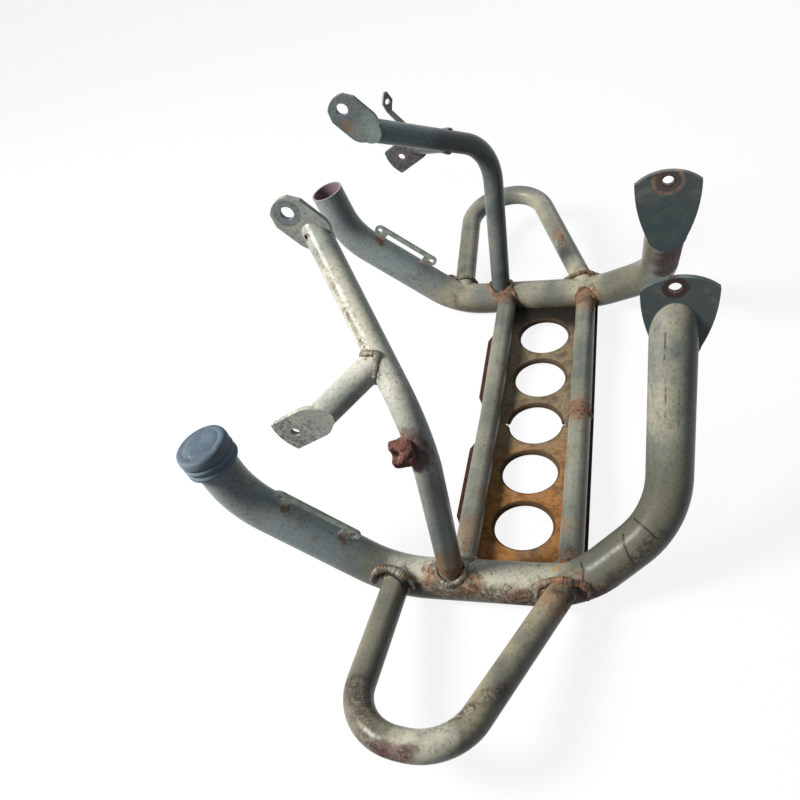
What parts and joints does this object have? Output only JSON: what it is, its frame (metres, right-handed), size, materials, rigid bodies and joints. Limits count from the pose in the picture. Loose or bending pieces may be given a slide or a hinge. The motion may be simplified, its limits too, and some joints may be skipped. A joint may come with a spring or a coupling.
{
  "type": "atv front bumper",
  "caption": "Welded tube front bumper for an all-terrain vehicle: mirrored main tubes with crushed bolt ends, side loops, stays and a folded plate with a row of lipped holes.",
  "frame": {"origin": "on the floor under the middle of the part's bounding box", "axes": "the bumper lies on its front: +Z up is the vehicle's rear, -X is up on the vehicle, -Y is its left side, +Y is the longest extent"},
  "size_m": [0.3878, 0.695, 0.3171],
  "materials": {
    "tube_paint": "dull silver-grey paint, scratched and speckled with rust",
    "plate_paint": "worn grey paint with orange-brown surface rust",
    "bracket_paint": "dull grey paint",
    "weld_metal": "painted weld bead with rust in its ripples",
    "rusted_steel": "deep flaking red-brown rust",
    "cap_rubber": "weathered blue-black rubber"
  },
  "bodies": {
    "root": {"main_tube_left": "tube_paint", "main_tube_right": "tube_paint", "stay_left": "tube_paint", "stay_right": "tube_paint", "branch_left": "tube_paint", "branch_right": "tube_paint", "side_loop_left": "tube_paint", "side_loop_right": "tube_paint", "upper_cross_tube": "tube_paint", "lower_cross_tube_left": "tube_paint", "lower_cross_tube_right": "tube_paint", "front_plate": "plate_paint", "strip_bracket_left": "bracket_paint", "strip_bracket_right": "bracket_paint", "boss_left": "rusted_steel", "boss_stub_right": "rusted_steel", "strap_right": "bracket_paint", "end_cap_left": "cap_rubber", "stay_welds": "weld_metal", "branch_welds": "weld_metal", "loop_welds": "weld_metal", "cross_welds": "weld_metal", "seam_weld": "weld_metal"}
  },
  "joints": []
}
